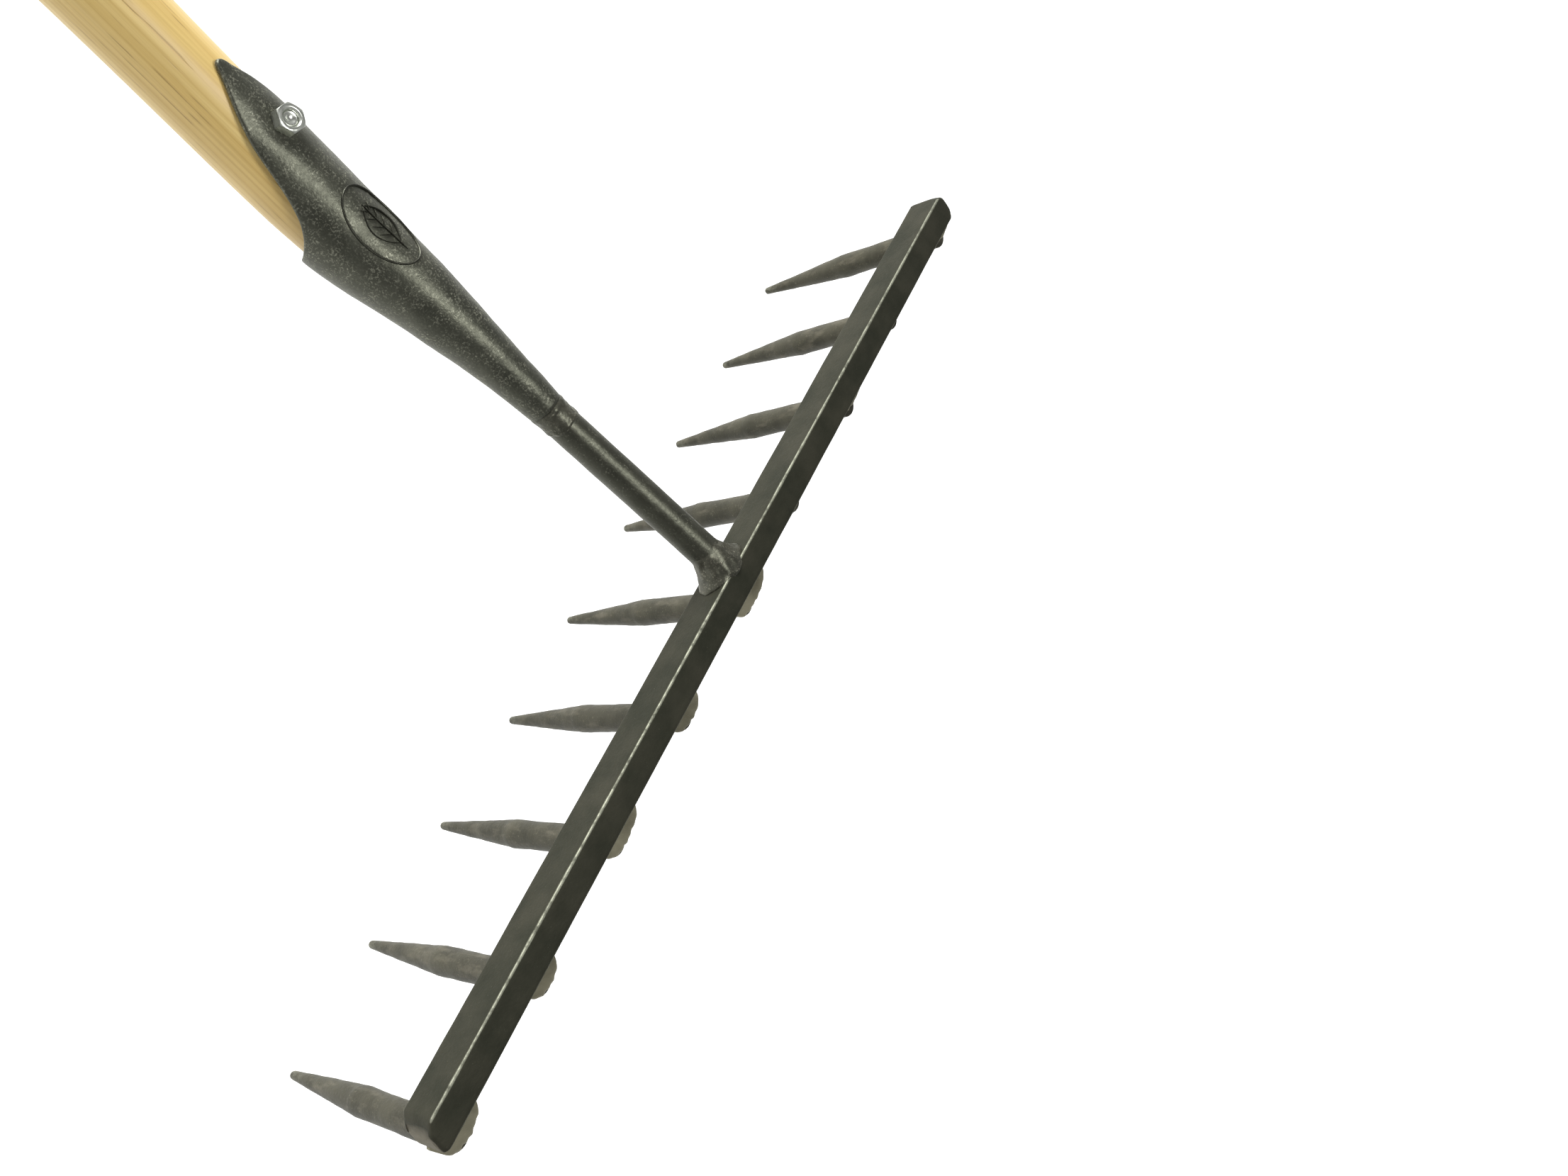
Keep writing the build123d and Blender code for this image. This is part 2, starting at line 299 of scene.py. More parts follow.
def forged_steel(name, dark, light, fleck, fleck_amount, roughness, sheen, worn=None):
    # Blackened steel: cloudy patches, fine flecks and a faint hammered skin.
    # worn(p) returns the masks of rubbed edges and of bare or scaled metal.
    p = Paint(name)
    clouds = p.noise(p.scaled((90, 90, 90)), detail=4.0)
    grain = p.noise(p.scaled((900, 900, 900)), detail=3.0, rough=0.6)
    specks = p.noise(p.scaled((1500, 1500, 1500)), detail=2.0, rough=0.7)
    colour = p.ramp(clouds, (0.35, dark), (0.65, light))
    speck_mask = p.ramp(specks, (0.62 - fleck_amount, grey(0)), (0.76 - fleck_amount, grey(1)))
    patch = p.ramp(p.noise(p.scaled((220, 220, 220)), detail=3.0), (0.40, grey(0.15)), (0.62, grey(1)))
    flecks = p.math("MULTIPLY", speck_mask, patch)
    colour = p.mix(flecks, colour, fleck + (1.0,))
    rough = p.math("MULTIPLY_ADD", grain, 0.22, roughness - 0.11)
    metal = p.math("MULTIPLY_ADD", flecks, 0.4, 0.1)
    if worn is not None:
        mask, bare = worn(p)
        colour = p.mix(mask, colour, (0.27, 0.275, 0.215, 1.0))
        rough = p.mix(mask, rough, grey(0.42))
        colour = p.mix(bare, colour, (0.20, 0.18, 0.135, 1.0))
        metal = p.math("MAXIMUM", metal, p.math("MULTIPLY", mask, 0.5))
    normal = p.bump(grain, 0.00012, 0.8)
    normal = p.bump(clouds, 0.0006, 0.5, normal)
    tint = (0.94, 0.96, 0.74, 1.0)
    return p.finish(colour, rough, metal, normal, Specular_IOR_Level=sheen, Specular_Tint=tint)


def bar_wear(p):
    # Rubbed line along the upper front edge and faint rub marks along two other edges.
    x, y, z = p.axes()
    front = BAR_LOW[1] * MM
    back = BAR_HIGH[1] * MM
    top = BAR_HIGH[2] * MM
    rub_width = 0.0009
    end_zone = 8
    wander = p.noise(p.scaled((60, 1, 1)), detail=3.0)
    along = p.noise(p.scaled((420, 500, 500)), detail=4.0, rough=0.65)

    def near(edge_y, edge_z):
        distance = p.distance(p.math("SUBTRACT", y, edge_y), p.math("SUBTRACT", z, edge_z))
        width = p.math("MULTIPLY", p.math("ADD", wander, 0.5), rub_width)
        return p.math("SUBTRACT", 1.0, p.math("DIVIDE", distance, width), clamp=True)

    strong = p.ramp(near(front, top), (0.1, grey(0)), (0.5, grey(0.85)))
    weak = p.ramp(near(back, top), (0.2, grey(0)), (0.6, grey(0.4)))
    low = p.ramp(near(front, 0.0), (0.2, grey(0)), (0.6, grey(0.35)))
    edge = p.math("MAXIMUM", strong, p.math("MAXIMUM", weak, low))
    broken = p.ramp(along, (0.3, grey(0.25)), (0.55, grey(1)))
    # The sawn ends are paler.
    facing = p.nodes.new("ShaderNodeNewGeometry").outputs["Normal"]
    endwise = p.math("ABSOLUTE", p.axes(facing)[0])
    at_end = p.math("GREATER_THAN", p.math("ABSOLUTE", x), (BAR_HIGH[0] - end_zone) * MM)
    bare = p.math("MULTIPLY", p.ramp(endwise, (0.80, grey(0)), (0.95, grey(0.9))), at_end)
    return p.math("MULTIPLY", edge, broken), bare


def tine_wear(p):
    # Tips rubbed a little brighter by the soil, and patches of pale scale.
    z = p.axes()[2]
    tip_zone = 0.012
    depth = p.math("DIVIDE", p.math("SUBTRACT", TINE_END * MM + tip_zone, z), tip_zone, clamp=True)
    patches = p.noise(p.scaled((500, 500, 300)), detail=4.0, rough=0.7)
    patch_mask = p.ramp(patches, (0.4, grey(0)), (0.6, grey(1)))
    rubbed = p.math("MULTIPLY", p.math("MULTIPLY", depth, 0.5), patch_mask)
    scale = p.noise(p.scaled((260, 260, 90)), detail=4.0, rough=0.6)
    return rubbed, p.ramp(scale, (0.52, grey(0)), (0.72, grey(0.35)))


def ash_wood():
    # Ash: wide growth rings cut at a low angle, pores in the early wood, fine fibres, satin varnish.
    p = Paint("ash_wood_varnished")
    x, y, z = p.axes()
    pith_x = 0.026
    pith_depth = 0.045
    grain_slope = 0.009
    ring_width = 0.0024

    def warp(factors, amount):
        cloud = p.noise(p.scaled(factors), detail=2.0)
        return p.math("MULTIPLY", p.math("SUBTRACT", cloud, 0.5), amount)

    warp_a = warp((45, 3.0, 45), 0.009)
    warp_b = warp((160, 7.0, 160), 0.0018)
    from_pith = p.distance(p.math("SUBTRACT", x, pith_x), p.math("ADD", z, pith_depth))
    radius = p.math("ADD", from_pith, p.math("MULTIPLY", y, grain_slope))
    radius = p.math("ADD", radius, p.math("ADD", warp_a, warp_b))
    ring = p.math("FRACT", p.math("DIVIDE", radius, ring_width))
    ring_colour = p.ramp(
        ring,
        (0.0, (0.56, 0.340, 0.092)),
        (0.16, (0.69, 0.460, 0.140)),
        (0.42, (0.84, 0.610, 0.222)),
        (0.80, (0.87, 0.645, 0.250)),
        (1.0, (0.74, 0.510, 0.162)),
    )
    fibre = p.noise(p.scaled((1100, 9, 1100)), detail=3.0, rough=0.6)
    streak = p.noise(p.scaled((260, 2.5, 260)), detail=3.0, rough=0.55)
    pore = p.noise(p.scaled((1500, 70, 1500)), detail=1.0)
    streak_colour = p.ramp(streak, (0.3, (0.72, 0.490, 0.145)), (0.7, (0.90, 0.690, 0.285)))
    colour = p.mix(0.6, ring_colour, streak_colour)
    colour = p.mix(p.ramp(fibre, (0.35, grey(0.3)), (0.6, grey(0))), colour, (0.52, 0.325, 0.092, 1.0))
    early = p.ramp(ring, (0.0, grey(1)), (0.3, grey(0)), (0.9, grey(0)), (1.0, grey(1)))
    pores = p.math("MULTIPLY", p.ramp(pore, (0.60, grey(0)), (0.68, grey(1))), early)
    colour = p.mix(p.math("MULTIPLY", pores, 0.55), colour, (0.27, 0.14, 0.040, 1.0))
    # Painted shade: darker where the wood enters the socket.
    shade_end = 0.200
    shade_length = 0.020
    mouth_shade = p.math("DIVIDE", p.math("ADD", y, shade_end), shade_length, clamp=True)
    colour = p.mix(p.math("MULTIPLY", mouth_shade, 0.35), colour, (0.36, 0.22, 0.055, 1.0))
    # Painted shade: near-black wall inside the hang hole.
    dark_radius = 0.00515
    hole_x = p.math("SUBTRACT", x, SHANK_X * MM)
    hole_y = p.math("ADD", y, (HANDLE_END - HOLE_FROM_END) * MM)
    hole_shade = p.math("LESS_THAN", p.distance(hole_x, hole_y), dark_radius)
    colour = p.mix(p.math("MULTIPLY", hole_shade, 0.85), colour, (0.045, 0.028, 0.014, 1.0))
    rough = p.math("MULTIPLY_ADD", fibre, 0.2, 0.30)
    height = p.math("SUBTRACT", p.math("MULTIPLY", fibre, 0.35), pores)
    normal = p.bump(height, 0.00012, 0.5)
    return p.finish(colour, rough, 0.0, normal, Coat_Weight=0.2, Coat_Roughness=0.35)


def burnt_wood():
    # Charred lines of the mark on the handle.
    p = Paint("burnt_mark")
    char = p.noise(p.scaled((1200, 300, 1200)), detail=4.0, rough=0.7)
    colour = p.ramp(char, (0.3, (0.030, 0.016, 0.008)), (0.7, (0.110, 0.058, 0.022)))
    rough = p.math("MULTIPLY_ADD", char, 0.3, 0.5)
    return p.finish(colour, rough, 0.0, p.bump(char, 0.00008, 0.6))


def zinc():
    # Bright zinc plate with faint turning marks and clouding.
    p = Paint("zinc_plate")
    clouds = p.noise(p.scaled((350, 350, 350)), detail=4.0)
    lines = p.noise(p.scaled((400, 400, 3500)), detail=3.0)
    colour = p.ramp(clouds, (0.35, (0.56, 0.58, 0.52)), (0.65, (0.80, 0.82, 0.75)))
    rough = p.math("MULTIPLY_ADD", lines, 0.2, 0.2)
    return p.finish(colour, rough, 0.9, p.bump(lines, 0.00003, 0.5))


def pale_floor():
    # Near white, with a little glow of its own, so that it stays bright behind and below the dark rake.
    p = Paint("pale_floor")
    fleck = p.noise(p.scaled((40, 40, 40)), detail=4.0)
    colour = p.ramp(fleck, (0.3, (0.80, 0.80, 0.79)), (0.7, (0.84, 0.84, 0.83)))
    seen = p.nodes.new("ShaderNodeLightPath").outputs["Is Camera Ray"]
    glow = p.math("MULTIPLY_ADD", seen, 0.22, 0.42)
    return p.finish(colour, 0.9, Emission_Color=(1.0, 1.0, 1.0, 1.0), Emission_Strength=glow)


BAR_STEEL = forged_steel(
    "blackened_bar_steel",
    dark=(0.022, 0.023, 0.016),
    light=(0.036, 0.035, 0.025),
    fleck=(0.10, 0.10, 0.075),
    fleck_amount=-0.04,
    roughness=0.60,
    sheen=0.16,
    worn=bar_wear,
)
TINE_STEEL = forged_steel(
    "blackened_tine_steel",
    dark=(0.030, 0.028, 0.020),
    light=(0.060, 0.056, 0.040),
    fleck=(0.16, 0.15, 0.11),
    fleck_amount=0.02,
    roughness=0.48,
    sheen=0.35,
    worn=tine_wear,
)
SOCKET_STEEL = forged_steel(
    "blackened_socket_steel",
    dark=(0.022, 0.023, 0.018),
    light=(0.044, 0.045, 0.035),
    fleck=(0.26, 0.26, 0.205),
    fleck_amount=0.10,
    roughness=0.40,
    sheen=0.9,
)
ROD_STEEL = forged_steel(
    "blackened_rod_steel",
    dark=(0.017, 0.017, 0.013),
    light=(0.030, 0.030, 0.023),
    fleck=(0.20, 0.20, 0.155),
    fleck_amount=0.04,
    roughness=0.40,
    sheen=0.9,
)
# Much darker than the socket steel: painted shade standing in for the dark grooves of the stamped mark.
MARK_GROOVE_SHADE_STEEL = forged_steel(
    "mark_steel_painted_groove_shade",
    dark=(0.010, 0.010, 0.008),
    light=(0.016, 0.016, 0.013),
    fleck=(0.05, 0.05, 0.04),
    fleck_amount=0.02,
    roughness=0.36,
    sheen=0.6,
)
WELD_STEEL = forged_steel(
    "blackened_weld_steel",
    dark=(0.026, 0.026, 0.020),
    light=(0.058, 0.056, 0.043),
    fleck=(0.24, 0.23, 0.18),
    fleck_amount=0.07,
    roughness=0.36,
    sheen=0.7,
)
# Pale steel for the weld beads over the tine heads: painted light, their upward faces drawn several times
# lighter than the tine steel.
LIT_CAP_STEEL = forged_steel(
    "cap_steel_painted_light",
    dark=(0.165, 0.153, 0.105),
    light=(0.290, 0.270, 0.190),
    fleck=(0.34, 0.32, 0.23),
    fleck_amount=0.02,
    roughness=0.50,
    sheen=0.4,
)
WOOD = ash_wood()
BURNT = burnt_wood()
ZINC = zinc()


# ---------------------------------------------------------------- head bar
def head_bar():
    # Rounded rectangular bar with its two ends cut aslant.
    half_y = (BAR_HIGH[1] - BAR_LOW[1]) / 2
    half_z = (BAR_HIGH[2] - BAR_LOW[2]) / 2
    mid_z = (BAR_HIGH[2] + BAR_LOW[2]) / 2
    half_x = BAR_HIGH[0]
    end_round = 1.6
    corner = 0.8
    flat = 8
    station_step = 3.0
    # How far each end stands back, by y: corners off and cut a little aslant.
    near_end = ((-5.5, 5.0), (-3.7, 3.1), (-2.0, 1.4), (0.0, 0.9), (4.3, 0.0), (5.5, 1.0))
    far_end = ((-5.5, 2.5), (-4.4, 1.1), (-3.3, 0.1), (2.0, 1.5), (4.0, 2.9), (5.5, 4.5))
    slant_fade = 16.0
    rub_from = 9.0
    rub_height = 7.0
    rub_breadth = 8
    rub_depth = 2.2

    def section(x, inset):
        # Rectangle with rounded corners, square to the bar.
        ring = []
        hy = half_y - inset
        hz = half_z - inset
        r = corner
        for quarter in range(4):
            cy = (hy - r) * (1 if quarter in (0, 3) else -1)
            cz = (hz - r) * (1 if quarter in (0, 1) else -1)
            for step in range(5):
                a = (quarter * 90 + step * 22.5) * pi / 180
                ring.append((x, cy + r * cos(a), mid_z + cz + r * sin(a)))
            # Points along the flat that follows this corner.
            next_q = (quarter + 1) % 4
            ny = (hy - r) * (1 if next_q in (0, 3) else -1)
            nz = (hz - r) * (1 if next_q in (0, 1) else -1)
            a = (quarter * 90 + 90) * pi / 180
            for step in range(1, flat):
                t = step / flat
                ring.append(
                    (x, cy + (ny - cy) * t + r * cos(a), mid_z + cz + (nz - cz) * t + r * sin(a))
                )
        return ring

    def cut_ends(p):
        x, y, z = p
        fade = max(0.0, 1 - (half_x - abs(x)) / slant_fade)
        if x > 0:
            return (x - fade * smooth_path(near_end, y), y, z)
        # The upper front corner of the far end is rubbed down as well.
        high = max(0.0, (z - rub_from) / rub_height)
        forward = max(0.0, 1 - (y + half_y) / rub_breadth)
        return (x + fade * (smooth_path(far_end, y) + rub_depth * high**2 * forward), y, z)

    def rolled(p):
        # Faint unevenness of a rolled bar.
        x, y, z = p
        push = 0.10 * bumps(x, y, z, 26, 3.1) + 0.05 * bumps(x, y, z, 7, 8.3)
        d = Vector((0, y / half_y, (z - mid_z) / half_z)).normalized()
        return (x, y + d.y * push, z + d.z * push)

    ends = []
    for e in (0.0, 0.08, 0.25, 0.5, 0.8, 1.2, end_round):
        lack = (end_round - e) / end_round
        ends.append((e, end_round * (1 - sqrt(max(0.0, 1 - lack * lack)))))
    middle = 2 * half_x - 2 * end_round
    count = int(middle / station_step)
    rings = []
    for e, inset in ends:
        rings.append(section(-half_x + e, inset))
    for i in range(1, count):
        rings.append(section(-half_x + end_round + i * middle / count, 0.0))
    for e, inset in reversed(ends):
        rings.append(section(half_x - e, inset))
    rings = [[rolled(cut_ends(p)) for p in ring] for ring in rings]
    verts, faces = skin(rings)
    make_mesh("head_bar_forged", verts, faces, BAR_STEEL, "dark_steel", "head_bar")


head_bar()


# ---------------------------------------------------------------- tines and their welds
def tine(number, x, y, head, tip_z):
    # Round rod with an eased head, a slight swell at the shoulder and a hammered taper below it.
    head_edge = 0.8
    station_step = 2.5
    swell = 0.18
    taper_share = 0.975
    profile = []
    for z in (head, head - 0.12, head - 0.35, head - head_edge):
        lack = (head - z) / head_edge
        profile.append((z, TINE_RADIUS - 0.75 * (1 - sqrt(1 - (1 - lack) ** 2))))
    z = head - station_step
    while z > TINE_SHOULDER + 1:
        profile.append((z, TINE_RADIUS + swell * exp(-(((z - TINE_SHOULDER) / 9) ** 2))))
        z -= station_step
    taper = TINE_SHOULDER - tip_z
    profile.append((TINE_SHOULDER + 0.6, TINE_RADIUS + 0.17))
    for i in range(25):
        t = i / 24 * taper_share
        profile.append((TINE_SHOULDER - t * taper, TINE_RADIUS + 0.05 + (TINE_TIP_RADIUS - TINE_RADIUS) * t))
    end_z = profile[-1][0]
    end_r = profile[-1][1]
    for a in (25, 45, 62, 77):
        profile.append((end_z - (end_z - tip_z) * sin(radians(a)), end_r * cos(radians(a))))

    # The lower part leans a little, each tine its own way.
    lean = 1.6
    lean_x = 1.0 * bumps(x, 0, 0, 37, 5.2)
    lean_y = 0.9 * bumps(x, 0, 0, 31, 9.7)
    straight = 10
    smooth = 12
    rings = []
    count = 40
    for z, r in profile:
        down = max(0.0, (head - straight - z) / (head - straight - tip_z))
        ring = []
        for j in range(count):
            a = 2 * pi * j / count
            px = x + lean_x * down * down * lean
            py = y + lean_y * down * down * lean
            hammered = 0.0
            if z < head - smooth:
                hammered = 0.16 * bumps(x + r * cos(a), r * sin(a), z, 6.5, number * 1.7)
                hammered += 0.07 * bumps(x + r * cos(a), r * sin(a), z, 2.2, number * 0.9)
                hammered *= min(1.0, r / 3)
            ring.append((px + (r + hammered) * cos(a), py + (r + hammered) * sin(a), z))
        rings.append(ring)
    rings.reverse()
    verts, faces = skin(rings)
    make_mesh(f"tine_{number}_forged", verts, faces, TINE_STEEL, "dark_steel", f"tine_{number}")


def tine_weld(number, x, face, head):
    # Bead over the tine's head, with a higher thin tail toward -X along the rear face of the bar.
    low, high = node_box(f"tine_weld_{number}")
    tail = x - low[0]
    lead = high[0] - x
    tail_top = high[2] + 0.4
    # Reach out from the bar and heights, along the bead from -1 at the end of the tail to +1.
    reach_out = (
        (-1.0, 0.0), (-0.85, 2.6), (-0.55, 6.2), (-0.25, 8.5),
        (0.0, 8.9), (0.45, 8.7), (0.8, 6.5), (1.0, 0.4),
    )
    # Beads of the tines whose heads sit low are smaller.
    low_head = 5
    spread = 1.0 if head > low_head else 0.8
    top_height = (
        (-1.0, head + 4.6), (-0.9, tail_top - 1.2), (-0.72, tail_top - 1.0), (-0.4, head + 3.8),
        (-0.1, head + 2.0), (0.3, head + 1.1), (0.8, head + 0.2), (1.0, head - 0.9),
    )
    bottom_height = (
        (-1.0, head + 3.6), (-0.85, head + 1.6), (-0.5, head - 1.6), (0.0, head - 4.0), (0.7, head - 3.6),
        (1.0, head - 1.9),
    )
    # Section of the bead. The rim is part of the reach and drop below the top edge, the sole is part of
    # the reach and rise above the bottom edge.
    rim = (
        (0.0, 0.0), (0.35, 0.0), (0.65, 0.02), (0.82, 0.14),
        (0.93, 0.45), (0.985, 0.9), (1.0, 1.5), (0.96, 2.6),
    )
    sole = ((0.82, 0.9), (0.55, 0.3), (0.25, 0.05))
    sunk = 0.5
    rings = []
    stations = 60
    for i in range(stations + 1):
        along = -1 + 2 * i / stations
        px = x + along * (tail if along < 0 else lead)
        out = max(0.15, spread * smooth_path(reach_out, along))
        out *= 1 + 0.05 * bumps(px, 0, 0, 3.0, number * 2.3) + 0.02 * sin(px * 2.4)
        top = smooth_path(top_height, along) + 0.25 * bumps(px, 0, 0, 4.0, number * 1.1)
        bottom = smooth_path(bottom_height, along)
        squeeze = min(1.0, (top - bottom) / 4.0)
        ring = [(px, face - sunk, top)]
        for part, drop in rim:
            wobble = 0.12 * bumps(px, 9 * part, drop, 2.4, number * 3.1)
            ring.append((px, face + out * part, top + (wobble - drop) * squeeze))
        for part, rise in sole:
            ring.append((px, face + out * part, bottom + rise * squeeze))
        ring.append((px, face - sunk, bottom))
        rings.append(ring)
    verts, faces = skin(rings)
    # The bead is drawn in the pale cap steel, which is painted light.
    make_mesh(f"tine_weld_{number}_bead", verts, faces, LIT_CAP_STEEL, "weld_steel", f"tine_weld_{number}")


for number in range(1, TINE_COUNT + 1):
    low, high = node_box(f"tine_{number}")
    middle_x = (low[0] + high[0]) / 2
    tine(number, middle_x, (low[1] + high[1]) / 2, high[2], low[2])
    tine_weld(number, middle_x, BAR_HIGH[1], high[2])


# ---------------------------------------------------------------- rod and its two welds
def ring_around(reach, z, half_x, half_z, count, dent, size, seed):
    # Ellipse square to the handle, with dents of the given depth and size.
    ring = []
    for j in range(count):
        a = 2 * pi * j / count
        push = dent * bumps(half_x * cos(a), reach, half_z * sin(a), size, seed)
        r = 1.0 + push / half_x
        ring.append((SHANK_X + half_x * cos(a) * r, -reach, z + half_z * sin(a) * r))
    return ring


def shank_rod():
    # Round rod from the bar to the neck of the socket.
    end = 88
    step = 1.2
    rings = []
    reach = 5.6
    while reach < end:
        rings.append(ring_around(reach, rod_z(reach), ROD_RADIUS, ROD_RADIUS, 56, 0.13, 9.0, 2.0))
        reach += step
    verts, faces = skin(rings)
    make_mesh("shank_rod_forged", verts, faces, ROD_STEEL, "socket_steel", "shank_rod")


def neck_weld():
    # Short welded collar with an irregular, slanting seam at each end.
    # Reach and height above the surface of the rod.
    path = (
        (81.6, -0.25), (82.2, 0.10), (83.0, 0.30), (84.6, 0.22), (86.4, 0.16),
        (88.2, 0.26), (89.6, 0.48), (90.4, 0.42), (91.0, 0.10), (91.8, -0.35),
    )
    rings = []
    steps = 60
    count = 96
    for i in range(steps + 1):
        reach = path[0][0] + (path[-1][0] - path[0][0]) * i / steps
        lift = smooth_path(path, reach)
        ring = []
        for j in range(count):
            a = 2 * pi * j / count
            shift = 1.1 * bumps(8 * cos(a), 0, 8 * sin(a), 6.0, 1.3) + 0.8 * cos(a - 0.6)
            rough = 0.20 * bumps(7 * cos(a), reach, 7 * sin(a), 1.8, 4.0) * min(1.0, max(lift, 0) * 4)
            r = ROD_RADIUS + lift + rough
            ring.append((SHANK_X + r * cos(a), -(reach + shift), rod_z(reach + shift) + r * sin(a)))
        rings.append(ring)
    verts, faces = skin(rings)
    make_mesh("neck_weld_collar", verts, faces, WELD_STEEL, "weld_steel", "neck_weld")


def head_weld():
    # Fillet between rod and bar: wide on the front face of the bar, narrow along the rod.
    # Height of the centre, half width and half height by reach.
    start = 3.5
    end = 18.0
    centre = ((start, 8.6), (5.5, 8.2), (9.0, 8.8), (13.0, 9.2), (end, rod_z(end)))
    wide = ((start, 9.3), (5.5, 12.0), (8.0, 9.4), (12.0, 7.0), (end, 5.8))
    tall = ((start, 7.8), (5.5, 8.4), (9.0, 7.5), (13.0, 6.6), (end, 5.8))
    rings = []
    steps = 40
    for i in range(steps + 1):
        reach = start + (end - start) * i / steps
        fade = min(1.0, (end - reach) / 3)
        rings.append(
            ring_around(
                reach,
                smooth_path(centre, reach),
                smooth_path(wide, reach),
                smooth_path(tall, reach),
                84,
                0.55 * fade,
                3.2,
                6.0,
            )
        )
    verts, faces = skin(rings)
    make_mesh("head_weld_fillet", verts, faces, WELD_STEEL, "weld_steel", "head_weld")


shank_rod()
neck_weld()
head_weld()

# ---------------------------------------------------------------- socket
# Height of the centre and outer radius by reach.
SOCKET_HEIGHT = ((NECK, rod_z(NECK)), (112, 0.5), (143, -3.7), (MOUTH, HANDLE_Z), (260, HANDLE_Z))
SOCKET_RADIUS = (
    (NECK, 6.4), (112, 8.1), (143, 11.8), (MOUTH, SOCKET_MOUTH_RADIUS), (260, SOCKET_MOUTH_RADIUS),
)
# Reach of the mouth edge past the mouth line, by angle from the tongue's centre line.
MOUTH_EDGE = (
    (0, 55.0), (4, 54.6), (7, 53.7), (10, 52.0), (25, 45.0), (36, 39.0), (45, 32.5), (53, 23.0),
    (60, 16.0), (71, 9.5), (90, 4.4), (120, 1.2), (180, -0.5),
)


def socket_point(reach, angle, lift):
    # Point on the socket, angle in radians from straight up and positive toward +X.
    z0 = smooth_path(SOCKET_HEIGHT, reach)
    r = smooth_path(SOCKET_RADIUS, reach) + lift
    return (SHANK_X + r * sin(angle), -reach, z0 + r * cos(angle))


def socket_dent(x, y, z):
    # Faint hammer marks.
    return 0.16 * bumps(x, y, z, 9, 7.0) + 0.07 * bumps(x, y, z, 3.2, 2.0)


def socket_skin():
    # Outer skin from neck to mouth edge, the rounded edge, and the inner skin back into the cone.
    half = 56
    crowding = 1.55
    edge_round = 0.8
    edge_turn = ((0.45, -0.10), (0.18, -0.38), (0.0, -0.85), (0.0, -1.4), (0.25, -WALL))
    inside_start = 114
    # Columns stand closer together near the tongue's point.
    angles = [pi * (k / half) ** crowding for k in range(half + 1)]
    angles = [-a for a in reversed(angles[1:-1])] + angles
    edges = []
    for a in angles:
        deg = abs(degrees(a))
        reach = MOUTH + smooth_path(MOUTH_EDGE, deg)
        slope = smooth_path(MOUTH_EDGE, min(deg + 0.5, 180)) - smooth_path(MOUTH_EDGE, max(deg - 0.5, 0))
        slope /= SOCKET_MOUTH_RADIUS * radians(1.0)
        edges.append((reach, sqrt(1 + slope * slope)))

    def dented(point, angle, lift):
        x, y, z = point
        push = socket_dent(x, y, z)
        x += push * sin(angle)
        z += push * cos(angle)
        # The metal is pressed flat under the nut.
        seat_radius = 6.4
        near = exp(-((hypot(x - BOLT_X, y - BOLT_Y) / seat_radius) ** 6))
        limit = NUT_SEAT - 0.05 + lift
        if z > limit:
            z += (limit - z) * near
        return (x, y, z)

    rings = []
    rows = 110
    for i in range(rows + 1):
        t = i / rows
        ring = []
        for a, (edge, k) in zip(angles, edges):
            reach = NECK + (edge - edge_round * k - NECK) * t
            ring.append(dented(socket_point(reach, a + TONGUE_TURN, 0.0), a + TONGUE_TURN, 0.0))
        rings.append(ring)
    for back, lift in edge_turn:
        ring = []
        for a, (edge, k) in zip(angles, edges):
            ring.append(dented(socket_point(edge - back * k, a + TONGUE_TURN, lift), a + TONGUE_TURN, lift))
        rings.append(ring)
    inner_rows = 30
    for i in range(1, inner_rows + 1):
        t = i / inner_rows
        ring = []
        for a, (edge, k) in zip(angles, edges):
            reach = edge - 0.25 * k + (inside_start - edge) * t
            ring.append(dented(socket_point(reach, a + TONGUE_TURN, -WALL), a + TONGUE_TURN, -WALL))
        rings.append(ring)
    verts, faces = skin(rings)
    make_mesh("socket_forged", verts, faces, SOCKET_STEEL, "socket_steel", "socket")


socket_skin()


# ---------------------------------------------------------------- generic oval mark with a leaf
def leaf_mark(half_long, half_wide):
    # Centre lines of the mark as (points, closed, half width): an oval, a leaf outline, midrib and veins.
    lines = []
    oval = []
    for i in range(96):
        a = 2 * pi * i / 96
        oval.append((half_wide * sin(a), half_long * cos(a)))
    lines.append((oval, True, 0.42))
    long = half_long * 0.66
    wide = half_wide * 0.50
    for side in (-1, 1):
        curve = []
        for i in range(33):
            t = (i + 0.1) / 32.2
            curve.append((side * wide * sin(pi * t) ** 0.85, -long * 0.8 + 1.6 * long * t))
        lines.append((curve, False, 0.26))
    lines.append(([(0.0, -long * 1.08 + 2.1 * long * i / 30) for i in range(29)], False, 0.24))
    for i in range(4):
        base = -long * 0.45 + i * long * 0.32
        for side in (-1, 1):
            vein = []
            for j in range(9):
                t = (j + 0.15) / 8.15
                vein.append((side * wide * 0.72 * t * (1 - 0.08 * i), base + long * 0.30 * t))
            lines.append((vein, False, 0.17))
    return lines


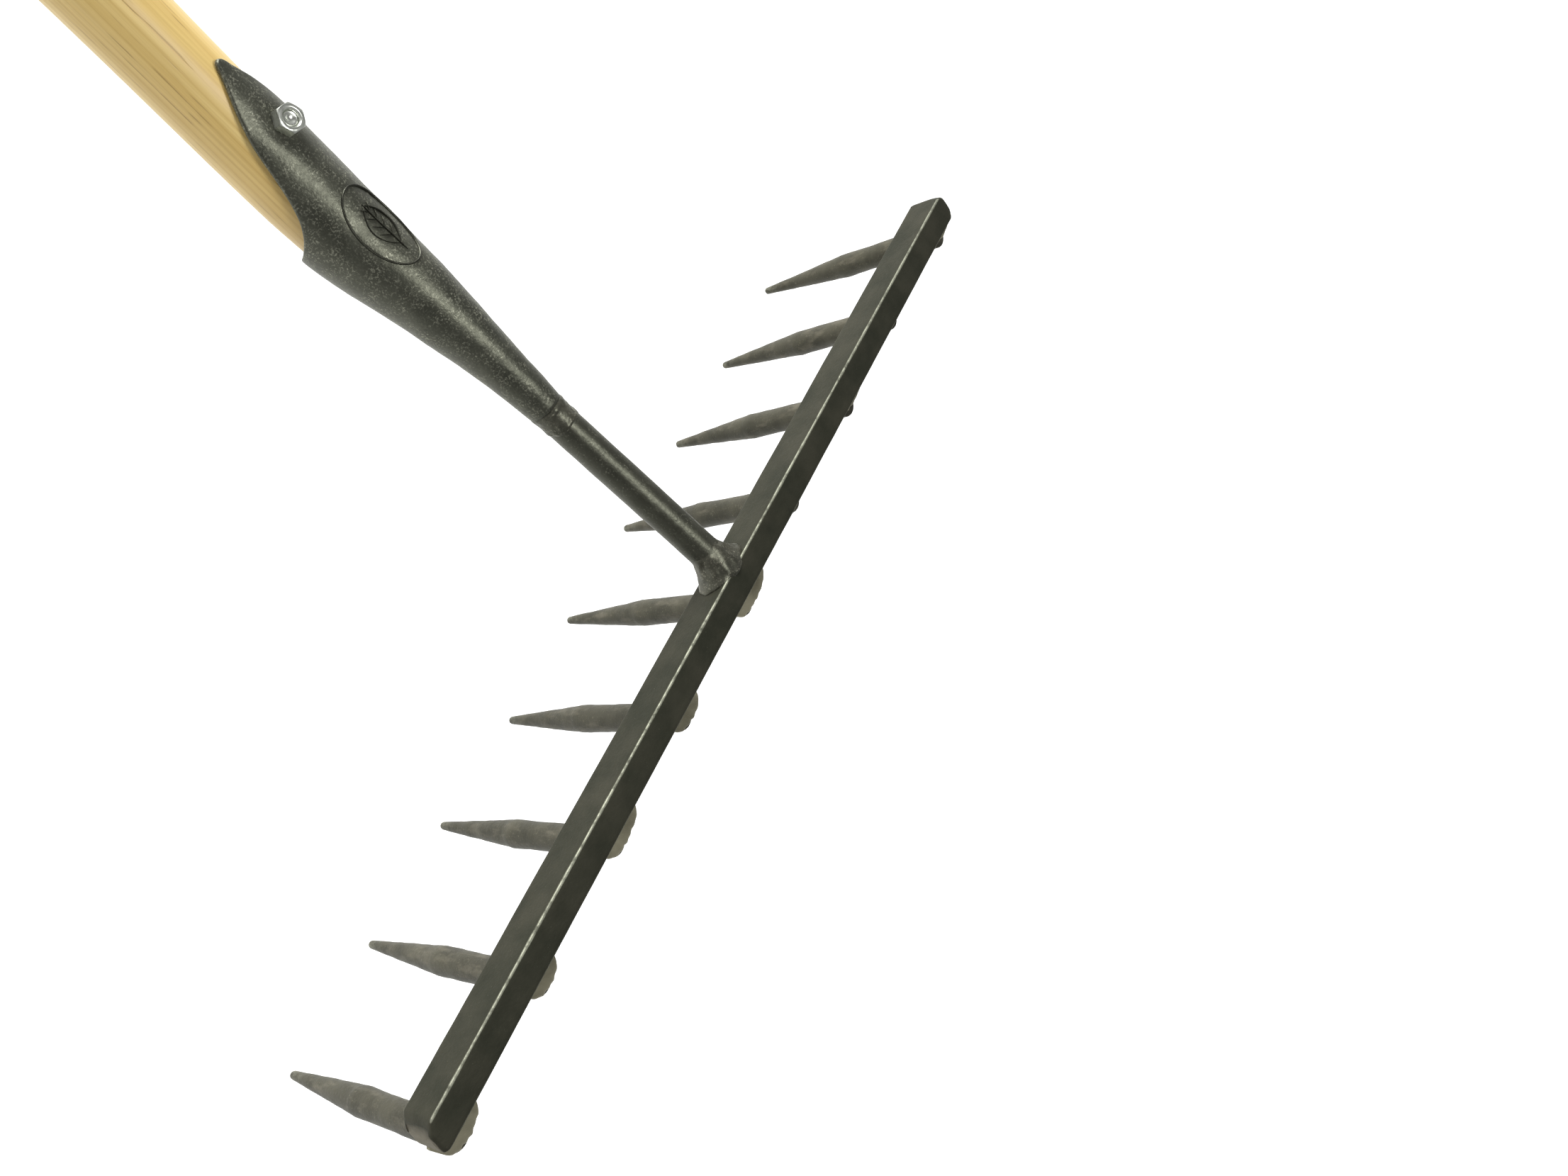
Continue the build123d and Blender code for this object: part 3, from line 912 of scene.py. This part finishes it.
def mark_piece(name, lines, surface, height, material, slot):
    # Low ridges that follow the surface below them. The profile is across and up.
    profile = (
        (-1.0, -0.25), (-0.75, 0.45), (-0.35, 0.92), (0.0, 1.0),
        (0.35, 0.92), (0.75, 0.45), (1.0, -0.25),
    )
    sunk = -0.35
    parts = []
    for points, closed, half in lines:
        rings = []
        count = len(points)
        for i, (s, d) in enumerate(points):
            before = points[(i - 1) % count] if closed or i > 0 else points[0]
            after = points[(i + 1) % count] if closed or i < count - 1 else points[-1]
            tangent = Vector((after[0] - before[0], after[1] - before[1])).normalized()
            side = Vector((-tangent.y, tangent.x))
            shrink = 1.0
            if not closed:
                shrink = min(1.0, 0.35 + 0.65 * min(i, count - 1 - i) / 3)
            ring = []
            for across, up in profile:
                w = across * half * shrink
                ring.append(surface(s + side.x * w, d + side.y * w, up * height * shrink))
            ring.append(surface(s, d, sunk))
            rings.append(ring)
        parts.append(skin(rings, not closed, not closed, closed))
    verts, faces = joined(*parts)
    make_mesh(name, verts, faces, material, slot)


def on_socket(s, d, lift):
    # s runs round the socket and d along it, from the middle of the mark.
    mark_reach = 167.5
    mark_angle = radians(-10.0)
    reach = mark_reach + d
    angle = mark_angle + s / smooth_path(SOCKET_RADIUS, reach)
    x, y, z = socket_point(reach, angle, lift)
    push = socket_dent(x, y, z)
    return (x + push * sin(angle), y, z + push * cos(angle))


# The socket mark is drawn in steel with painted groove shade.
mark_piece("socket_mark", leaf_mark(14.2, 8.8), on_socket, 0.60, MARK_GROOVE_SHADE_STEEL, "socket_steel")


# ---------------------------------------------------------------- handle
# Radius by reach: slimmer under the tongue, a slight swell in the middle.
HANDLE_PROFILE = (
    (MOUTH, 12.45), (180, 12.7), (189, 12.98), (240, 13.0),
    (620, 14.4), (1100, 14.4), (HANDLE_END - DOME, HANDLE_END_RADIUS),
)


def handle_radius(reach):
    play = 0.55
    if reach <= MOUTH:
        return smooth_path(SOCKET_RADIUS, reach) - WALL - play
    if reach <= HANDLE_END - DOME:
        return smooth_path(HANDLE_PROFILE, reach)
    t = (reach - (HANDLE_END - DOME)) / DOME
    return HANDLE_END_RADIUS * (1 - t**2.4) ** 0.5


def turned_ring(r, y, z, count):
    # Circle of points round an axis along the handle.
    ring = []
    for j in range(count):
        a = 2 * pi * j / count
        ring.append((SHANK_X + r * sin(a), y, z + r * cos(a)))
    return ring


def handle():
    # Stations are close together in the socket and near the hang hole, and wide apart between them.
    stations = []
    reach = 113.0
    for end, step in ((200, 4.0), (HANDLE_END - 40, 12.0), (HANDLE_END - DOME, 1.5)):
        while reach < end:
            stations.append(reach)
            reach += step
    dome_rows = 22
    for i in range(dome_rows):
        stations.append(HANDLE_END - DOME * (1 - sin(pi / 2 * i / dome_rows)))
    rings = []
    count = 112
    for reach in stations:
        r = handle_radius(reach)
        z0 = smooth_path(SOCKET_HEIGHT, reach)
        rings.append(turned_ring(r, -reach, z0, count))
    rings.append(turned_ring(0.02, -HANDLE_END, HANDLE_Z, count))
    verts, faces = skin(rings)
    piece = make_mesh("handle_turned", verts, faces, WOOD, "ash_wood", "handle")

    # Hang hole with an eased rim on both sides: height from the axis and radius.
    hole_y = -(HANDLE_END - HOLE_FROM_END)
    flare = ((-16.0, 7.6), (-14.3, 6.3), (-13.6, 5.75), (-13.0, 5.35), (-12.2, 5.08), (-11.0, 5.0))
    flare = flare + tuple((-z, r) for z, r in reversed(flare))
    rings = [level_ring(SHANK_X, hole_y, HANDLE_Z + z, r, 64) for z, r in flare]
    verts, faces = skin(rings)
    mesh = bpy.data.meshes.new("hole_tool")
    mesh.from_pydata([(x * MM, y * MM, z * MM) for x, y, z in verts], [], faces)
    mesh.update()
    tool = bpy.data.objects.new("hole_tool", mesh)
    bpy.context.scene.collection.objects.link(tool)
    cut = piece.modifiers.new("hang_hole", "BOOLEAN")
    cut.operation = "DIFFERENCE"
    cut.solver = "EXACT"
    cut.object = tool
    bpy.context.view_layer.update()
    depsgraph = bpy.context.evaluated_depsgraph_get()
    result = bpy.data.meshes.new_from_object(piece.evaluated_get(depsgraph))
    piece.modifiers.clear()
    piece.data = result
    bpy.data.objects.remove(tool)
    for polygon in piece.data.polygons:
        polygon.use_smooth = True
    piece.data.set_sharp_from_angle(angle=radians(35))


handle()


def on_handle(s, d, lift):
    # s runs round the handle and d along it, from the middle of the mark.
    mark_from_end = 100.0
    reach = HANDLE_END - mark_from_end + d
    r = handle_radius(reach)
    angle = s / r
    return (SHANK_X + (r + lift) * sin(angle), -reach, HANDLE_Z + (r + lift) * cos(angle))


mark_piece("handle_mark", leaf_mark(17.8, 10.3), on_handle, 0.05, BURNT, "ash_wood")


# ---------------------------------------------------------------- nut, bolt and washer
def clamp_nut():
    # Hexagon nut: the top is cut by a cone of 30 degrees, so each corner falls away.
    base = NUT_LOW[2]
    high = NUT_HIGH[2] - NUT_LOW[2]
    count = 120
    cone_slope = 0.577

    def hex_radius(a):
        sector = (a - NUT_TURN + pi / 6) % (pi / 3) - pi / 6
        return NUT_FLATS / 2 / cos(sector)

    def top(r):
        return base + high - max(0.0, r - (NUT_FLATS / 2 - 0.15)) * cone_slope

    rings = []
    hole = BOLT_RADIUS

    def ring(radius_of, z_of):
        points = []
        for j in range(count):
            a = 2 * pi * j / count
            r = radius_of(a)
            points.append((BOLT_X + r * cos(a), BOLT_Y + r * sin(a), z_of(r)))
        return points

    rings.append(ring(lambda a: hole, lambda r: base + high - 0.55))
    rings.append(ring(lambda a: hole + 0.42, lambda r: base + high - 0.04))
    rings.append(ring(lambda a: hole + 0.50, lambda r: base + high))
    for t in (0.35, 0.7, 0.9, 0.975, 1.0):
        rings.append(ring(lambda a, t=t: hole + 0.5 + (hex_radius(a) - hole - 0.5) * t, top))
    rings.append(ring(hex_radius, lambda r: top(r) - 0.08))
    for t in (0.3, 0.6, 0.9, 1.0):
        rings.append(ring(hex_radius, lambda r, t=t: top(r) + (base - top(r)) * t))
    rings.append(ring(lambda a: hex_radius(a) - 0.4, lambda r: base - 0.02))
    rings.append(ring(lambda a: hole, lambda r: base - 0.02))
    for t in range(1, 9):
        wave = 0.10 if t % 2 else -0.10
        rings.append(ring(lambda a, w=wave: hole + w, lambda r, t=t: base + (high - 0.55) * t / 9))
    verts, faces = skin(rings, False, False, True)
    piece = make_mesh("clamp_nut_hex", verts, faces, ZINC, "zinc_steel", "clamp_nut")
    piece.data.set_sharp_from_angle(angle=radians(28))


def clamp_bolt():
    # Dished end, thread down into the tongue, plain shank and a low round head.
    top = BOLT_HIGH[2]
    head_low = BOLT_LOW[2]
    under = WASHER_LOW[2]
    thread_root = 2.28
    thread_step = 0.4
    shank = 2.45
    path = [(0.01, top - 0.55), (0.9, top - 0.50), (1.35, top - 0.10), (1.95, top), (2.30, top - 0.22)]
    z = top - 0.6
    turn = 0
    while z > NUT_SEAT - 1:
        path.append((BOLT_RADIUS if turn % 2 else thread_root, z))
        z -= thread_step
        turn += 1
    path.append((shank, NUT_SEAT - 1.5))
    path.append((shank, under + 0.02))
    path.append((4.55, under + 0.01))
    path.append((4.75, under - 0.2))
    path.append((4.80, under - 0.6))
    for i in range(1, 9):
        a = pi / 2 * i / 8
        path.append((4.8 * cos(a) ** 0.9 + 0.01, under - 0.6 - (under - 0.6 - head_low) * sin(a)))
    verts, faces = skin([level_ring(BOLT_X, BOLT_Y, z, r, 56) for r, z in path])
    piece = make_mesh("clamp_bolt_turned", verts, faces, ZINC, "zinc_steel", "clamp_bolt")
    piece.data.set_sharp_from_angle(angle=radians(40))


def clamp_washer():
    low = WASHER_LOW[2]
    high = WASHER_HIGH[2]
    outer = (WASHER_HIGH[0] - WASHER_LOW[0]) / 2
    path = (
        (2.7, high), (2.55, high - 0.12), (2.55, low + 0.12), (2.7, low), (outer - 0.3, low),
        (outer - 0.08, low + 0.08), (outer, low + 0.3), (outer, high - 0.2), (outer - 0.2, high),
    )
    verts, faces = skin([level_ring(BOLT_X, BOLT_Y, z, r, 72) for r, z in path], False, False, True)
    piece = make_mesh("clamp_washer_round", verts, faces, ZINC, "zinc_steel", "clamp_washer")
    piece.data.set_sharp_from_angle(angle=radians(40))


clamp_nut()
clamp_bolt()
clamp_washer()

# ---------------------------------------------------------------- CAD nodes keep sensible materials as well
CAD_MATERIALS = {"handle": WOOD, "socket": SOCKET_STEEL, "shank_rod": ROD_STEEL, "head_bar": BAR_STEEL}
for node_name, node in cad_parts.items():
    material = CAD_MATERIALS.get(node_name)
    if material is None:
        if "weld" in node_name:
            material = WELD_STEEL
        elif "tine" in node_name:
            material = TINE_STEEL
        else:
            material = ZINC
    node.data.materials.clear()
    node.data.materials.append(material)

# ---------------------------------------------------------------- stage, light and camera
FLOOR_SIZE = 14
FLOOR_DROP = 0.30
LIGHT_TARGET = (0, -0.3, 0)
WHITE = (1.0, 1.0, 1.0, 1.0)

scene = bpy.context.scene
bpy.ops.mesh.primitive_plane_add(size=FLOOR_SIZE, location=(0, -0.4, TINE_END * MM - FLOOR_DROP))
floor = bpy.context.object
floor.name = "floor"
floor.data.materials.append(pale_floor())

world = bpy.data.worlds.new("studio")
scene.world = world
world.use_nodes = True
world_nodes = world.node_tree.nodes
world_links = world.node_tree.links
# Dim overhead, bright near the horizon and below, and white where the camera sees it.
direction = world_nodes.new("ShaderNodeTexCoord").outputs["Generated"]
split = world_nodes.new("ShaderNodeSeparateXYZ")
fall = world_nodes.new("ShaderNodeMapRange")
fall.inputs["From Min"].default_value = -0.1
fall.inputs["From Max"].default_value = 0.7
fall.inputs["To Min"].default_value = 0.75
fall.inputs["To Max"].default_value = 0.10
seen = world_nodes.new("ShaderNodeLightPath").outputs["Is Camera Ray"]
strength = world_nodes.new("ShaderNodeMath")
strength.operation = "MAXIMUM"
world_links.new(direction, split.inputs[0])
world_links.new(split.outputs[2], fall.inputs["Value"])
world_links.new(fall.outputs[0], strength.inputs[0])
world_links.new(seen, strength.inputs[1])
world_nodes["Background"].inputs[0].default_value = WHITE
world_links.new(strength.outputs[0], world_nodes["Background"].inputs[1])


def soft_light(name, place, size, power):
    # Square lamp that faces the head of the rake.
    data = bpy.data.lights.new(name, "AREA")
    data.shape = "RECTANGLE"
    data.size = size
    data.size_y = size
    data.energy = power
    light = bpy.data.objects.new(name, data)
    light.location = place
    light.rotation_euler = (Vector(LIGHT_TARGET) - Vector(place)).to_track_quat("-Z", "Y").to_euler()
    scene.collection.objects.link(light)


soft_light("key", (-0.2, 0.4, 3.4), 1.0, 54)
soft_light("fill", (-2.8, -8.1, 2.0), 4.8, 1200)

# The camera looks down on the head from over the near end of the bar.
camera_data = bpy.data.cameras.new("camera")
camera_data.sensor_fit = "HORIZONTAL"
camera_data.sensor_width = 36.0
camera_data.lens = 32.70
camera_data.clip_start = 0.01
camera = bpy.data.objects.new("camera", camera_data)
camera.location = (0.2319, -0.2435, 0.3884)
right = Vector((-0.40953, 0.59979, 0.68742))
up = Vector((-0.78089, -0.62006, 0.07580))
back = right.cross(up)
camera.rotation_euler = Matrix((right, up, back)).transposed().to_euler()
scene.collection.objects.link(camera)
scene.camera = camera
scene.view_settings.view_transform = "Standard"
